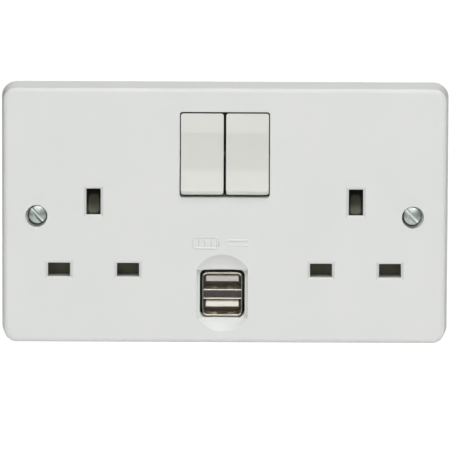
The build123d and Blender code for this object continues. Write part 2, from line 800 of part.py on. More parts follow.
# Rear base: floor, strip channels, pockets, shutter guides, pin keepers and terminal barriers
port_cut_top = case_top_z + slide_gap
port_cut_bottom = -base_height / 2 - base_corner
well_pocket_top = anvil_z + strip_width / 2 + pocket_gap
well_pocket_bottom = switch_z - contact_reach - pocket_gap
trough_top = flat_z + shutter_boss
lead_height = floor_height + lead_lift
lead_bed = lead_height - lead_diameter / 2 - slide_gap
lead_starts = {"live": terminal_z - terminal_length / 2 + lead_diameter, "neutral": neutral_cross_z}
with BuildPart() as base:
    with BuildSketch(front(base_back)):
        RectangleRounded(base_width, base_height, base_corner)
        with Locations((-base_width / 2, 0), (base_width / 2, 0)):
            Rectangle(2 * pillar_notch, pillar_notch_height, mode=Mode.SUBTRACT)
    extrude(amount=base_front - base_back)
    with BuildSketch(front(floor_height)):
        for side in sides:
            draw(live_runs[side], channel_gap)
            for clip_x in (live_x[side], neutral_x[side]):
                draw([pad(clip_x, flat_z, clip_width, 2 * clip_half + strip_thickness)], pocket_gap)
        draw(feed_runs, channel_gap)
        draw(neutral_runs, channel_gap)
        pocket_z = (well_pocket_top + well_pocket_bottom) / 2
        pocket_height = well_pocket_top - well_pocket_bottom
        draw([pad(0, pocket_z, 2 * riser_x + strip_width, pocket_height)], channel_gap)
    extrude(amount=base_front - floor_height, mode=Mode.SUBTRACT)
    with BuildSketch(front(base_back)):
        for side in sides:
            draw([pad(outlet_x[side], earth_z, earth_pocket_width, earth_pocket_height)])
        for name in ("live", "neutral"):
            draw([pad(terminal_x[name], terminal_z, terminal_width, terminal_length)], seat_gap)
        cut_z = (port_cut_top + port_cut_bottom) / 2
        draw([pad(0, cut_z, 2 * (case_half + slide_gap), port_cut_top - port_cut_bottom)])
    extrude(amount=base_front - base_back, mode=Mode.SUBTRACT)
    with BuildSketch(front(case_front - flange_thickness)):
        rebate_top = port_cut_top + flange
        rebate_z = (rebate_top + port_cut_bottom) / 2
        draw([pad(0, rebate_z, 2 * (case_half + flange + slide_gap), rebate_top - port_cut_bottom)])
    extrude(amount=flange_thickness + seat_gap, mode=Mode.SUBTRACT)
    with BuildSketch(front(boss_back - slide_gap)):
        for side in sides:
            trough_z = (trough_top + spring_foot) / 2
            draw([pad(outlet_x[side], trough_z, shutter_boss + 2 * slide_gap, trough_top - spring_foot)])
    extrude(amount=base_front - boss_back + slide_gap, mode=Mode.SUBTRACT)
    with BuildSketch(front(lead_bed)):
        lead_end = port_cut_top - case_wall
        for name, x in lead_xs.items():
            draw([run((x, lead_starts[name]), (x, lead_end), lead_diameter)], channel_gap)
    extrude(amount=base_front - lead_bed, mode=Mode.SUBTRACT)
    for x, z in base_screw_spots:
        with BuildSketch(front(base_back, x, z)):
            Circle(base_screw_head / 2 + slide_gap)
        extrude(amount=base_front - base_screw_grip - base_back, mode=Mode.SUBTRACT)
        with BuildSketch(front(base_back, x, z)):
            Circle(base_screw_thread / 2 + slide_gap)
        extrude(amount=base_front - base_back, mode=Mode.SUBTRACT)
    with BuildSketch(front(base_front)):
        for side, x in outlet_x.items():
            guide_x = shutter_bar / 2 + slide_gap + rib / 2
            guide_top = shutter_top + rib
            guide_bottom = shutter_bottom - shutter_travel
            guide_z = (guide_top + guide_bottom) / 2
            stop_x = shutter_arm / 2 + 2 * rib
            stop_z = shutter_top + seat_gap + rib / 2
            for sign in (-1, 1):
                draw([pad(x + sign * guide_x, guide_z, rib, guide_top - guide_bottom)])
                draw([pad(x + sign * stop_x, stop_z, 2 * rib, rib)])
    extrude(amount=shutter_front - base_front)
    with BuildSketch(front(base_front)):
        keeper_x = (pivot_length - pivot_bearing) / 2
        for sign in (-1, 1):
            draw([pad(sign * keeper_x, switch_z, pivot_bearing - slide_gap, pivot_diameter)])
    extrude(amount=pivot_height - pivot_diameter / 2 - seat_gap - base_front)
    with BuildSketch(front(base_back - barrier_reach)):
        for sign in (-1, 1):
            draw([pad(sign * terminal_pitch / 2, terminal_z, rib, terminal_length)])
    extrude(amount=barrier_reach)
    with BuildSketch(front(base_back - 2 * strip_thickness)):
        with Locations((-stake_x, earth_run_z), (stake_x, earth_run_z)):
            Circle(stake_diameter / 2)
    extrude(amount=2 * strip_thickness)
save(base, "base")

# Base screws: driven from the back into the bosses of the faceplate
with BuildPart() as base_screws:
    head_front = base_front - base_screw_grip
    with BuildSketch(front(head_front - base_screw_head_height)):
        with Locations(base_screw_spots):
            Circle(base_screw_head / 2)
    extrude(amount=base_screw_head_height)
    with BuildSketch(front(head_front)):
        with Locations(base_screw_spots):
            Circle(base_screw_thread / 2)
    extrude(amount=base_screw_grip + boss_hole_depth - slide_gap)
    with BuildSketch(front(head_front - base_screw_head_height)):
        with Locations(base_screw_spots):
            Rectangle(driver_slot, base_screw_head)
    extrude(amount=driver_slot_depth, mode=Mode.SUBTRACT)
save(base_screws, "base_screws")

# Fixing screws: raised countersunk heads with a dressed slot, turned as they were left, on a thin
# plain shank inside the plate and a full thread behind it
off_centre = math.hypot(fixing_slack_x, fixing_slack_z)
with BuildPart() as fixing_screws:
    for side, x in fixing_x.items():
        head_back = plate_depth - countersink_sunk - (countersink - fixing_head) / 2 + off_centre + touch_gap
        neck_height = head_back - (fixing_head - fixing_shank) / 2
        rim_height = head_back + fixing_head_edge
        thread_start = -seat_gap
        dome_top = rim_height + fixing_dome
        dome_radius = ((fixing_head / 2) ** 2 + fixing_dome**2) / (2 * fixing_dome)
        with BuildSketch(side_on(x)):
            with BuildLine():
                Polyline(
                    (dome_top, 0),
                    (dome_top - fixing_length, 0),
                    (dome_top - fixing_length, fixing_thread / 2),
                    (thread_start, fixing_thread / 2),
                    (thread_start, fixing_shank / 2),
                    (neck_height, fixing_shank / 2),
                    (head_back, fixing_head / 2),
                    (rim_height, fixing_head / 2),
                )
                RadiusArc((rim_height, fixing_head / 2), (dome_top, 0), dome_radius)
            make_face()
        revolve(axis=Axis((x, 0, 0), (0, 1, 0)))
        with BuildSketch(front(dome_top - fixing_slot_depth, x)):
            Rectangle(fixing_head + fixing_dome, fixing_slot, rotation=fixing_turns[side])
        extrude(amount=fixing_slot_depth, mode=Mode.SUBTRACT)
    arcs = fixing_screws.edges().filter_by(GeomType.CIRCLE)
    chamfer([edge for edge in arcs if edge.radius > fixing_head / 2 + fixing_slot], fixing_slot_chamfer)
save(fixing_screws, "fixing_screws")

# Port shell: folded sheet tube with a divider above and below the middle bar, and latch springs
tongue_front = port_front - tongue_sunk
tongue_back = tongue_front - tongue_length
shell_corner = port_corner - port_sheet
shell_height = port_height - 2 * port_sheet
with BuildPart() as port_shell:
    with BuildSketch(front(port_back, port_x, port_z)):
        RectangleRounded(port_width, port_height, port_corner)
        RectangleRounded(port_clear_width, shell_height, shell_corner, mode=Mode.SUBTRACT)
    extrude(amount=port_length)
    with BuildSketch(front(tongue_back + running_gap, port_x, port_z)):
        for sign in (-1, 1):
            with Locations((0, sign * (port_bar - port_sheet) / 2)):
                Rectangle(port_clear_width + port_sheet, port_sheet)
    extrude(amount=port_front - tongue_back - running_gap)
    for centre in port_levels.values():
        latch_floor = centre - port_clear_height / 2
        for sign in (-1, 1):
            latch_x = port_x + sign * latch_spread / 2
            with BuildSketch(side_on(latch_x, port_front - latch_sunk, latch_floor)):
                with BuildLine():
                    Polyline(
                        (0, -port_sheet / 2),
                        (0, 0),
                        (-latch_length / 2, latch_rise),
                        (-latch_length, 0),
                        (-latch_length, -port_sheet / 2),
                        (0, -port_sheet / 2),
                    )
                make_face()
            extrude(amount=latch_width / 2, both=True)
save(port_shell, "port_shell")

# Port body: dark moulding that fills the back of the shell and the bar between the two ports
with BuildPart() as port_body:
    body_width = port_clear_width - 2 * running_gap
    with BuildSketch(front(port_back, port_x, port_z)):
        RectangleRounded(body_width, shell_height - 2 * running_gap, shell_corner)
    extrude(amount=tongue_back - port_back)
    with BuildSketch(front(tongue_back, port_x, port_z)):
        Rectangle(body_width, port_bar - 2 * port_sheet - 2 * running_gap)
    extrude(amount=port_front - port_bar_sunk - tongue_back)
save(port_body, "port_body")

# Tongues and their contacts, one set in each port
for name, centre in port_levels.items():
    tongue_z = centre + tongue_lift
    with BuildPart() as port_tongue:
        with BuildSketch(front(tongue_back, port_x, tongue_z)):
            Rectangle(tongue_width, tongue_height)
        extrude(amount=tongue_length)
        chamfer(port_tongue.faces().sort_by(Axis.Y)[0].edges().filter_by(Axis.X), tongue_chamfer)
    save(port_tongue, f"port_tongue_{name}")
    with BuildPart() as port_contacts:
        contact_z = tongue_z - (tongue_height + port_contact_thickness) / 2
        with BuildSketch(front(tongue_back, port_x, contact_z)):
            with Locations(*[(x, 0) for x in port_contact_spread]):
                Rectangle(port_contact_width, port_contact_thickness)
        extrude(amount=tongue_length - tongue_height)
    save(port_contacts, f"port_contacts_{name}")

# Charger: case, circuit board, transformer, capacitors and the two leads that feed it
with BuildPart() as charger_case:
    case_height = case_top_z - case_bottom_z
    case_z = (case_top_z + case_bottom_z) / 2
    with BuildSketch(front(case_back)):
        draw([pad(0, case_z, 2 * case_half, case_height)])
    extrude(amount=case_depth)
    with BuildSketch(front(case_front - flange_thickness)):
        flange_z = case_z + flange / 2
        draw([pad(0, flange_z, 2 * (case_half + flange), case_height + flange)])
    extrude(amount=flange_thickness)
    with BuildSketch(front(case_back + case_wall)):
        draw([pad(0, case_z, 2 * case_half, case_height)], -case_wall)
    extrude(amount=case_depth, mode=Mode.SUBTRACT)
    with BuildSketch(front(case_back + case_wall)):
        with Locations((0, board_z)):
            with GridLocations(2 * case_half - case_post, case_height - case_post, 2, 2):
                Rectangle(case_post, case_post)
    extrude(amount=board_back - case_back - case_wall)
    with BuildSketch(front(lead_bed)):
        for x in lead_xs.values():
            draw([run((x, case_top_z + flange), (x, case_top_z - case_wall), lead_diameter)], channel_gap)
    extrude(amount=case_front - lead_bed, mode=Mode.SUBTRACT)
save(charger_case, "charger_case")

with BuildPart() as circuit_board:
    with BuildSketch(front(board_back, 0, board_z)):
        Rectangle(board_width, board_height)
    extrude(amount=board_thickness)
save(circuit_board, "circuit_board")

# Ferrite core of three limbs, with the winding round the middle one
window_width = (core_width - 3 * core_limb) / 2
window_length = core_length - 2 * core_limb
with BuildPart() as transformer_core:
    with BuildSketch(level(board_z, core_x)):
        with Locations((0, board_back - core_length / 2)):
            Rectangle(core_width, core_length)
            with GridLocations(window_width + core_limb, 0, 2, 1):
                Rectangle(window_width, window_length, mode=Mode.SUBTRACT)
    extrude(amount=core_height / 2, both=True)
save(transformer_core, "transformer_core")

with BuildPart() as transformer_winding:
    with BuildSketch(front(board_back - core_length + core_limb + running_gap, core_x, board_z)):
        winding_width = core_limb + 2 * window_width - 2 * running_gap
        RectangleRounded(winding_width, core_height + 2 * winding_bulge, winding_bulge)
        Rectangle(core_limb + 2 * running_gap, core_height + 2 * running_gap, mode=Mode.SUBTRACT)
    extrude(amount=window_length - 2 * running_gap)
save(transformer_winding, "transformer_winding")

# Capacitor cans standing on the back of the board, each crimped near its foot
for name, (diameter, length, x, up) in rear_capacitors.items():
    with BuildPart() as capacitor:
        with BuildSketch(front(board_back - length, x, board_z + up)):
            Circle(diameter / 2)
        extrude(amount=length)
        fillet(capacitor.faces().sort_by(Axis.Y)[-1].edges(), capacitor_groove)
        with BuildSketch(front(board_back - crimp_lift, x, board_z + up)):
            Circle(diameter / 2)
            Circle(diameter / 2 - capacitor_groove, mode=Mode.SUBTRACT)
        extrude(amount=crimp_width, mode=Mode.SUBTRACT)
    save(capacitor, f"{name}_capacitor")

# Leads that feed the charger from the feed bar and the neutral bar
lead_foot_z = case_top_z - case_wall - lead_landing
for name, x in lead_xs.items():
    with BuildPart() as lead:
        with BuildLine(side_on(x)) as route:
            FilletPolyline(
                (strip_top, lead_starts[name]),
                (lead_height, lead_starts[name]),
                (lead_height, lead_foot_z),
                (port_back, lead_foot_z),
                radius=lead_bend,
            )
        with BuildSketch(Plane(origin=route.line @ 0, z_dir=route.line % 0)):
            Circle(lead_diameter / 2)
        sweep()
    save(lead, f"{name}_lead")
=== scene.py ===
import json
import math

import bmesh
import bpy
from mathutils import Matrix, Vector


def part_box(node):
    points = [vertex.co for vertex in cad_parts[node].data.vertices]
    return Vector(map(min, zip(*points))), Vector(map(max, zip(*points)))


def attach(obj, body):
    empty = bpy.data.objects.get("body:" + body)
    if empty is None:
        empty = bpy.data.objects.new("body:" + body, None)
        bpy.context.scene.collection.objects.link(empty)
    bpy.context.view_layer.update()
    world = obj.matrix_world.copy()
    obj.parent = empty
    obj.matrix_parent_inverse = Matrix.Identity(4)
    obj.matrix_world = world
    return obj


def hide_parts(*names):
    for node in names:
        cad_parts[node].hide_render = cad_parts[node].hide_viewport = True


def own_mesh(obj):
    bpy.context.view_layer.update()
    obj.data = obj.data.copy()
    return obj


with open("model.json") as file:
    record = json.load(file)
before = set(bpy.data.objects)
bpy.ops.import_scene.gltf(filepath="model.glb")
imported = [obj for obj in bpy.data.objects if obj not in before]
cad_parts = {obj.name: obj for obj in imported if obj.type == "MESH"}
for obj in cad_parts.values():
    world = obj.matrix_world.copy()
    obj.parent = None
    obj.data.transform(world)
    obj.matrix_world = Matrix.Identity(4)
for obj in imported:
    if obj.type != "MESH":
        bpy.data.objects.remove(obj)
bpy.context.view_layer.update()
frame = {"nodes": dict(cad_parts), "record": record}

MM = 0.001
NO_STRETCH = (1.0, 1.0, 1.0)

# Places and sizes of the part, in millimetres
FIXING_PITCH = 120.6
OUTLET_PITCH = 84.46
PIN_PITCH = 22.23
EARTH_Z = 4.54
EARTH_SLOT = (4.6, 8.5)
FLAT_SLOT = (7.1, 4.5)
SLOT_BEVEL = 0.8
PORT_X = -0.7
BASE_BACK = 13.0
CASE_BACK = 22.3

# Where painted shade and painted light change a finish, over a span of millimetres, and to which
# colour
RAMP_Z = 2.9
RAMP_HALF = (1.75, 3.1)
RAMP_EDGE_SHARE = (0.7, 1.15)
RAMP_FOOT_Z = (-7.0, -5.0)
RAMP_PAINTED_SHADE = (0.012, 0.012, 0.007)
BEVEL_BLUR = 0.1
BEVEL_PAINTED_SHADE = (0.655, 0.665, 0.65)
SLOT_WALL_MARGIN = (0.3, 0.5)
SLOT_WALL_DEPTH = (-9.6, -9.2)
SLOT_WALL_PAINTED_SHADE = (0.47, 0.47, 0.45)
PORT_SIDE_REACH = (5.9, 6.1)
PORT_SIDE_PAINTED_SHADE = (0.26, 0.25, 0.23)
PORT_SHELL_DEPTH = (-7.8, -7.2)
PORT_SHELL_PAINTED_LIGHT = (0.92, 0.88, 0.8)
PORT_BODY_DEPTH = (-6.2, -5.4)
PORT_BODY_PAINTED_LIGHT = (0.24, 0.22, 0.195)
DRIVER_SLOT_TURN = math.radians(45.5)
DRIVER_SLOT_EDGE = (0.2, 0.38)
DRIVER_SLOT_PAINTED_HIGHLIGHT = (0.85, 0.88, 0.87)
RIGHT_SLOT_SCALE = 0.62
HEAD_RIM_CENTRE = (0.1, 0.0, 0.22)
HEAD_RIM = (2.7, 2.9)
HEAD_RIM_PAINTED_SHADE = (0.01, 0.012, 0.01)

# Springs, in millimetres, each from the end that stays still
WIRE = 0.42
WIRE_SIDES = 10
COIL_STEPS = 36
SPRING_GAP = 0.05
SHUTTER_SPRING_FOOT_Z = -31.49
SHUTTER_SPRING = {
    "axis": (0.0, 0.0, 1.0), "length": 10.6, "coil_radius": 1.5, "turns": 8, "travel": 7.0
}
PLUNGER_SPRING_FOOT = (7.275, -5.507, 19.734)
PLUNGER_SPRING = {
    "axis": (0.0, 0.996195, -0.087156),
    "length": 3.1, "coil_radius": 1.15, "turns": 5, "travel": 0.6,
}

# Threads of the fixing screws, in millimetres, with the half widths as shares of the pitch
THREAD_ENDS = (0.6, 18.7)
THREAD_PITCH = 0.6
THREAD_ROOT = 1.7
THREAD_CREST = 1.95
THREAD_STEPS = 32
THREAD_FOOT_HALF = 0.42
THREAD_CREST_HALF = 0.06

# Wall at the notch for the right pillar, in millimetres
NOTCH_HALF = 9.03
NOTCH_FOOT_X = 54.25
NOTCH_FOOT_Y = (10.6, 11.5)
NOTCH_WALL_X = 55.15
NOTCH_WALL = 0.6
NOTCH_BEVEL = 0.15

# Camera, as the photograph sees the plate
IMAGE_PX = 450
SENSOR_MM = 36.0
CAMERA_DISTANCE = 2.04
CAMERA_AZIMUTH = 0.24
CAMERA_ELEVATION = 9.0
CAMERA_ROLL = 0.204
CAMERA_CLIP = (0.05, 50.0)
PX_PER_MM = 3.0916
AIM_RIGHT_MM = 0.064
AIM_DROP_MM = 4.456

# Studio, in metres
FLOOR_Z = -0.4
FLOOR_HALF = 7.0
FLOOR_FRONT = -1.7
FLOOR_COLOUR = (0.82, 0.82, 0.82, 1.0)
FLOOR_ROUGHNESS = 0.9
FLOOR_SPECULAR = 0.1
FLOOR_GLOW = 0.85
WHITE = (1.0, 1.0, 1.0, 1.0)
BLACK = (0.0, 0.0, 0.0, 1.0)
SKY_START = 0.3
SKY_STRENGTH = 0.8
FLAG_Y = -3.2
FLAG_HALF = 4.0
FLAG_FOOT = -0.28
FLAG_FADE = 0.46
FLAG_TOP = 0.5
SIDE_FLAG_X = 2.4
SIDE_FLAG_FOOT = -0.35
SIDE_FLAG_TOP = 2.2
SIDE_FLAG_BACK = 0.6
BACK_FLAG_Y = 1.0
BACK_FLAG_NEAR = 0.13
BACK_FLAG_FOOT = -0.04
BACK_FLAG_FADE = 0.22
BACK_FLAG_TOP = 0.32

# Lamps, all turned to one point: place, width, height, watts, and whether reflections show it
LAMP_AIM = (0.0, 0.0, 0.0)
LAMPS = {
    "key": ((0.2, -0.92, 1.31), 1.1, 0.7, 16.4, True),
    "low_fill": ((0.0, -0.38, -0.34), 0.9, 0.3, 0.68, True),
    "back_fill": ((0.0, 1.3, -0.12), 0.14, 0.3, 4.0, False),
}

# Looks, one for each material slot of the record, with sizes in millimetres: colour, second colour,
# size of its spots, lowest and highest roughness, size and depth of the grain, width of soft edges,
# further sockets of the shader, stretch of the patterns
METAL = (("Metallic", 1.0),)
LOOKS = {
    "plate_plastic": (
        (0.79, 0.80, 0.785), (0.77, 0.785, 0.765),
        22.0, (0.42, 0.5), 0.9, 0.004, 0.25, (("Specular IOR Level", 0.4),),
    ),
    "rocker_plastic": (
        (0.76, 0.768, 0.718), (0.748, 0.758, 0.704),
        14.0, (0.02, 0.035), 6.0, 0.004, 0.25, (("Specular IOR Level", 0.8),),
    ),
    "shutter_plastic": (
        (0.145, 0.145, 0.091), (0.12, 0.12, 0.076), 3.0, (0.45, 0.6), 0.35, 0.006, 0.15,
    ),
    "base_plastic": (
        (0.74, 0.74, 0.71), (0.69, 0.69, 0.66), 12.0, (0.45, 0.6), 0.6, 0.01, 0.3,
    ),
    "case_plastic": (
        (0.035, 0.035, 0.038), (0.05, 0.05, 0.054), 5.0, (0.45, 0.62), 0.4, 0.015, 0.25,
    ),
    "barrier_fibre": (
        (0.03, 0.029, 0.027), (0.045, 0.043, 0.04), 1.5, (0.6, 0.75), 0.3, 0.01, 0.1,
    ),
    "plunger_plastic": (
        (0.76, 0.73, 0.64), (0.7, 0.66, 0.56), 2.0, (0.3, 0.42), 0.4, 0.004, 0.1,
    ),
    "zinc_steel": (
        (0.5, 0.54, 0.52), (0.33, 0.37, 0.35), 1.1, (0.2, 0.34), 0.25, 0.006, 0.1, METAL,
    ),
    "spring_steel": (
        (0.52, 0.51, 0.5), (0.4, 0.39, 0.38), 0.8, (0.25, 0.4), 0.2, 0.003, 0.05, METAL,
    ),
    "black_steel": (
        (0.035, 0.035, 0.04), (0.05, 0.05, 0.052), 0.8, (0.35, 0.5), 0.2, 0.003, 0.05, METAL,
    ),
    "brass": (
        (0.78, 0.57, 0.24), (0.62, 0.42, 0.16), 4.0, (0.24, 0.42), 0.3, 0.004, 0.12, METAL,
    ),
    "silver_contact": (
        (0.86, 0.85, 0.82), (0.7, 0.68, 0.64), 0.9, (0.2, 0.35), 0.2, 0.003, 0.1, METAL,
    ),
    "port_steel": (
        (0.9, 0.85, 0.76), (0.8, 0.75, 0.66), 1.6, (0.3, 0.42), 0.3, 0.002, 0.14, METAL,
    ),
    "port_black": (
        (0.062, 0.051, 0.047), (0.052, 0.043, 0.039), 2.0, (0.4, 0.55), 0.3, 0.004, 0.08,
    ),
    "port_white": (
        (0.87, 0.855, 0.79), (0.83, 0.81, 0.735), 2.0, (0.35, 0.5), 0.3, 0.003, 0.12,
    ),
    "port_grey": (
        (0.57, 0.56, 0.52), (0.52, 0.51, 0.47), 2.0, (0.35, 0.5), 0.3, 0.003, 0.12,
    ),
    "gold_contact": (
        (0.85, 0.62, 0.2), (0.74, 0.52, 0.16), 0.8, (0.2, 0.32), 0.2, 0.002, 0.05, METAL,
    ),
    "board_laminate": (
        (0.02, 0.14, 0.05), (0.03, 0.19, 0.07), 1.2, (0.25, 0.4), 0.4, 0.008, 0.1,
    ),
    "ferrite": (
        (0.035, 0.035, 0.038), (0.06, 0.06, 0.062), 0.7, (0.5, 0.7), 0.2, 0.02, 0.2,
    ),
    "winding_tape": (
        (0.78, 0.55, 0.05), (0.7, 0.48, 0.04),
        3.0, (0.2, 0.32), 1.2, 0.01, 0.2, (), (0.3, 3.0, 0.3),
    ),
    "capacitor_sleeve": (
        (0.012, 0.02, 0.05), (0.02, 0.03, 0.07), 2.0, (0.2, 0.35), 0.5, 0.004, 0.15,
    ),
    "live_lead_sleeve": (
        (0.13, 0.045, 0.018), (0.17, 0.06, 0.025), 2.0, (0.35, 0.5), 0.3, 0.004, 0.1,
    ),
    "neutral_lead_sleeve": (
        (0.01, 0.06, 0.3), (0.015, 0.08, 0.36), 2.0, (0.35, 0.5), 0.3, 0.004, 0.1,
    ),
}
FIXING_ZINC_LOOK = (
    (0.37, 0.41, 0.39), (0.26, 0.3, 0.28), 1.1, (0.42, 0.55), 0.25, 0.006, 0.1, METAL,
)


# Node helpers: each adds one step to a material's tree and returns its output


def plug(tree, socket, value):
    """Links an output to a socket, or sets a fixed value on it."""
    if isinstance(value, bpy.types.NodeSocket):
        tree.links.new(value, socket)
    else:
        socket.default_value = value


def scalar(tree, operation, *operands):
    """Number worked out from outputs and fixed numbers."""
    node = tree.nodes.new("ShaderNodeMath")
    node.operation = operation
    for socket, operand in zip(node.inputs, operands):
        plug(tree, socket, operand)
    return node.outputs["Value"]


def vector(tree, operation, *operands):
    """Vector, or the number that such an operation gives, from outputs and fixed vectors."""
    node = tree.nodes.new("ShaderNodeVectorMath")
    node.operation = operation
    for socket, operand in zip(node.inputs, operands):
        plug(tree, socket, operand)
    is_number = operation in ("LENGTH", "DISTANCE", "DOT_PRODUCT")
    return node.outputs["Value" if is_number else "Vector"]


def axes(tree, place):
    """The x, y and z of a vector."""
    node = tree.nodes.new("ShaderNodeSeparateXYZ")
    tree.links.new(place, node.inputs["Vector"])
    return node.outputs["X"], node.outputs["Y"], node.outputs["Z"]


def coordinates(tree, stretch=NO_STRETCH):
    """The object's own coordinates in metres, squeezed or stretched per axis."""
    source = tree.nodes.new("ShaderNodeTexCoord").outputs["Object"]
    if stretch == NO_STRETCH:
        return source
    mapping = tree.nodes.new("ShaderNodeMapping")
    mapping.inputs["Scale"].default_value = stretch
    tree.links.new(source, mapping.inputs["Vector"])
    return mapping.outputs["Vector"]


def noise(tree, where, size, detail=3.0):
    """Cloudy pattern whose spots are about this many millimetres wide."""
    node = tree.nodes.new("ShaderNodeTexNoise")
    node.inputs["Scale"].default_value = 1.0 / (size * MM)
    node.inputs["Detail"].default_value = detail
    tree.links.new(where, node.inputs["Vector"])
    return node.outputs["Fac"]


def spread(tree, value, low, high, start=0.3, end=0.7):
    """Maps a range of a value, or else the middle of a pattern, to another range."""
    node = tree.nodes.new("ShaderNodeMapRange")
    node.inputs["From Min"].default_value = start
    node.inputs["From Max"].default_value = end
    node.inputs["To Min"].default_value = low
    node.inputs["To Max"].default_value = high
    tree.links.new(value, node.inputs["Value"])
    return node.outputs["Result"]


def rise(tree, value, span):
    """0 below a span given in millimetres and 1 above it."""
    return spread(tree, value, 0.0, 1.0, span[0] * MM, span[1] * MM)


def fall(tree, value, span):
    """1 below a span given in millimetres and 0 above it."""
    return spread(tree, value, 1.0, 0.0, span[0] * MM, span[1] * MM)


def mix(tree, factor, first, second):
    """Colour between two colours, each a fixed one or an output."""
    node = tree.nodes.new("ShaderNodeMix")
    node.data_type = "RGBA"
    tree.links.new(factor, node.inputs["Factor"])
    for socket, colour in ((node.inputs[6], first), (node.inputs[7], second)):
        plug(tree, socket, (*colour, 1.0) if isinstance(colour, tuple) else colour)
    return node.outputs[2]


def soft_edges(tree, radius):
    """Normal that rolls over sharp edges, as moulded and stamped edges do."""
    node = tree.nodes.new("ShaderNodeBevel")
    node.samples = 6
    node.inputs["Radius"].default_value = radius * MM
    return node.outputs["Normal"]


def bump(tree, height, depth, normal):
    """Relief of a pattern on top of a normal."""
    node = tree.nodes.new("ShaderNodeBump")
    node.inputs["Distance"].default_value = depth * MM
    tree.links.new(height, node.inputs["Height"])
    tree.links.new(normal, node.inputs["Normal"])
    return node.outputs["Normal"]


def finish(
    name, colour, shade, mottle, rough, grain, grain_depth, edge, sockets=(), stretch=NO_STRETCH
):
    """Material of two close colours in soft spots, uneven gloss, a fine grain and soft edges."""
    material = bpy.data.materials.new(name)
    material.use_nodes = True
    tree = material.node_tree
    shader = tree.nodes["Principled BSDF"]
    where = coordinates(tree, stretch)
    spots = noise(tree, where, mottle)
    speckle = noise(tree, where, grain, detail=2.0)
    base = mix(tree, spread(tree, spots, 0.0, 1.0), colour, shade)
    normal = bump(tree, speckle, grain_depth, soft_edges(tree, edge))
    tree.links.new(base, shader.inputs["Base Color"])
    tree.links.new(spread(tree, spots, *rough), shader.inputs["Roughness"])
    tree.links.new(normal, shader.inputs["Normal"])
    for socket, value in sockets:
        shader.inputs[socket].default_value = value
    return material


def tint(material, factor, colour):
    """Blends another colour into a finish, fully where the factor is 1."""
    tree = material.node_tree
    base = tree.nodes["Principled BSDF"].inputs["Base Color"]
    tree.links.new(mix(tree, factor, base.links[0].from_socket, colour), base)


def depth_factor(tree, span):
    """0 in front of a span of depths, counted from the wall's plane, and 1 behind it."""
    return rise(tree, axes(tree, coordinates(tree))[1], span)


def from_nearer(tree, pitch):
    """Place measured across the plate from the nearer of two axes, and up it from the middle."""
    half_pitch = pitch * MM / 2
    x, _, z = axes(tree, coordinates(tree))
    shifted = scalar(tree, "SUBTRACT", x, half_pitch)
    joined = tree.nodes.new("ShaderNodeCombineXYZ")
    tree.links.new(scalar(tree, "WRAP", shifted, half_pitch, -half_pitch), joined.inputs["X"])
    tree.links.new(z, joined.inputs["Z"])
    return joined.outputs["Vector"]


def box_reach(tree, place, centre_z, half):
    """1 on a rounded rectangle round the nearer axis, less inside it and more outside."""
    centred = vector(tree, "SUBTRACT", place, (0.0, 0.0, centre_z * MM))
    share = vector(tree, "MULTIPLY", centred, (1.0 / (half[0] * MM), 0.0, 1.0 / (half[1] * MM)))
    return vector(tree, "LENGTH", vector(tree, "MULTIPLY", share, share))


def slot_margins(tree, place, centre, size):
    """How far a place is past a slot's sides and ends; slots mirror about the nearer axis."""
    level = vector(tree, "SUBTRACT", place, (0.0, 0.0, centre[1] * MM))
    shifted = vector(
        tree, "SUBTRACT", vector(tree, "ABSOLUTE", level), (centre[0] * MM, 0.0, 0.0)
    )
    corner = (size[0] / 2 * MM, 0.0, size[1] / 2 * MM)
    x, _, z = axes(tree, vector(tree, "SUBTRACT", vector(tree, "ABSOLUTE", shifted), corner))
    return x, z


def paint_ramp_shade(material):
    """Paints shade on a shutter: blackens it round the ramp behind its earth slot, outside a
    rounded rectangle.
    """
    tree = material.node_tree
    place = from_nearer(tree, OUTLET_PITCH)
    reach = box_reach(tree, place, RAMP_Z, RAMP_HALF)
    outside = spread(tree, reach, 0.0, 1.0, *RAMP_EDGE_SHARE)
    upper = rise(tree, axes(tree, place)[2], RAMP_FOOT_Z)
    tint(material, scalar(tree, "MULTIPLY", outside, upper), RAMP_PAINTED_SHADE)


def paint_slot_shade(material):
    """Paints shade on the pin slots' walls, deep behind the face, and a little on their bevels'
    sides.
    """
    tree = material.node_tree
    place = from_nearer(tree, OUTLET_PITCH)
    deep = depth_factor(tree, SLOT_WALL_DEPTH)
    for centre, size in (
        ((0.0, EARTH_Z), EARTH_SLOT),
        ((PIN_PITCH / 2, EARTH_Z - PIN_PITCH), FLAT_SLOT),
    ):
        across, up = slot_margins(tree, place, centre, size)
        margin = scalar(tree, "MAXIMUM", across, up)
        bevel = fall(tree, margin, (SLOT_BEVEL, SLOT_BEVEL + BEVEL_BLUR))
        sides = rise(tree, scalar(tree, "SUBTRACT", across, up), (0.0, BEVEL_BLUR))
        walls = fall(tree, margin, SLOT_WALL_MARGIN)
        tint(material, scalar(tree, "MULTIPLY", bevel, sides), BEVEL_PAINTED_SHADE)
        tint(material, scalar(tree, "MULTIPLY", walls, deep), SLOT_WALL_PAINTED_SHADE)


def paint_port_light_and_shade(shell, body):
    """Paints shade on the port shell's sides and light on its deep inside, and paints light that
    greys the body's deep part.
    """
    tree = shell.node_tree
    x = axes(tree, coordinates(tree))[0]
    distance = scalar(tree, "ABSOLUTE", scalar(tree, "SUBTRACT", x, PORT_X * MM))
    tint(shell, rise(tree, distance, PORT_SIDE_REACH), PORT_SIDE_PAINTED_SHADE)
    tint(shell, depth_factor(tree, PORT_SHELL_DEPTH), PORT_SHELL_PAINTED_LIGHT)
    tint(body, depth_factor(body.node_tree, PORT_BODY_DEPTH), PORT_BODY_PAINTED_LIGHT)


